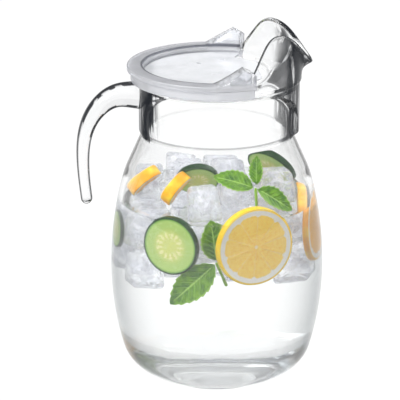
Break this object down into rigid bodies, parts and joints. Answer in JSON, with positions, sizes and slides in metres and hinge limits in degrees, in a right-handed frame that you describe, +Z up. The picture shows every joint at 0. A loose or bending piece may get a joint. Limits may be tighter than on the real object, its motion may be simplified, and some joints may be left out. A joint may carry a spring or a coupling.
{
  "type": "lidded glass jug",
  "caption": "Clear glass jug with a rounded belly, open hook handle, two-winged pouring spout and press-fit plastic lid, filled with an iced fruit drink.",
  "frame": {"origin": "centre of the foot, on the table", "axes": "+Z up along the jug's own axis; +X along the pouring spout, so the handle is at -X"},
  "size_m": [0.174, 0.1504, 0.2521],
  "materials": {
    "glass": "clear, fire polished",
    "lid_plastic": "milky, nearly clear, satin",
    "water": "clear",
    "ice": "clear, wet",
    "lemon": "wet flesh and rind",
    "cucumber": "wet flesh and rind",
    "mint": "fresh leaf"
  },
  "bodies": {
    "jug": {"cucumber_slice_back": "cucumber", "cucumber_slice_front": "cucumber", "cucumber_slice_left": "cucumber", "cucumber_slice_middle": "cucumber", "glass_handle": "glass", "glass_jug": "glass", "ice_cube_01": "ice", "ice_cube_02": "ice", "ice_cube_03": "ice", "ice_cube_04": "ice", "ice_cube_05": "ice", "ice_cube_06": "ice", "ice_cube_07": "ice", "ice_cube_08": "ice", "ice_cube_09": "ice", "ice_cube_10": "ice", "ice_cube_11": "ice", "ice_cube_12": "ice", "ice_cube_13": "ice", "ice_cube_14": "ice", "ice_cube_15": "ice", "ice_cube_16": "ice", "ice_cube_17": "ice", "ice_cube_18": "ice", "ice_cube_19": "ice", "ice_cube_20": "ice", "ice_cube_21": "ice", "ice_cube_22": "ice", "ice_cube_23": "ice", "ice_cube_24": "ice", "ice_cube_25": "ice", "lemon_slice_front": "lemon", "lemon_slice_right": "lemon", "lemon_wedge_left": "lemon", "lemon_wedge_middle": "lemon", "mint_leaf_lower_down": "mint", "mint_leaf_lower_up": "mint", "mint_leaf_upper_left": "mint", "mint_leaf_upper_right": "mint", "mint_leaf_upper_top": "mint", "mint_stem_lower": "mint", "mint_stem_upper": "mint", "water": "water"},
    "lid": {"lid": "lid_plastic"}
  },
  "joints": [
    {"name": "lid_lift", "type": "slide", "parent": "jug", "child": "lid", "axis": [0, 0, 1], "range_m": [0, 0.045]}
  ]
}
